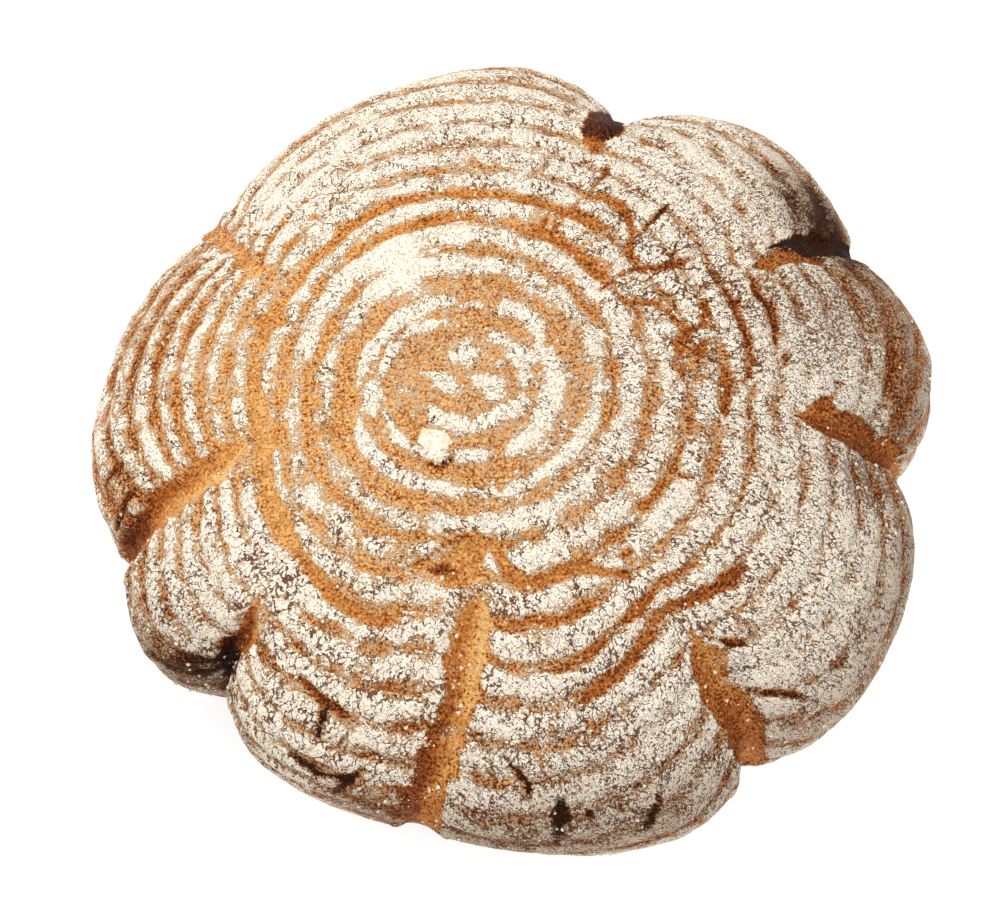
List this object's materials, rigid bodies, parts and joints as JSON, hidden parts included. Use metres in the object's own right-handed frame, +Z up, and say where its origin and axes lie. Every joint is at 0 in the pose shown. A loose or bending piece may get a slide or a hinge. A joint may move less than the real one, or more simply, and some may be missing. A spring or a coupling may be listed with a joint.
{
  "type": "round loaf",
  "caption": "Round flour-dusted country loaf with coiled basket rings and radial cuts that opened into puffed lobes round its edge.",
  "frame": {"origin": "centre of the loaf's outline, at the height of its flat base", "axes": "+Z up out of the crown, +X to the loaf's right and +Y to its back as the picture shows it"},
  "size_m": [0.234, 0.2418, 0.0765],
  "materials": {
    "crust": "matte"
  },
  "bodies": {
    "root": {"loaf": "crust"}
  },
  "joints": []
}
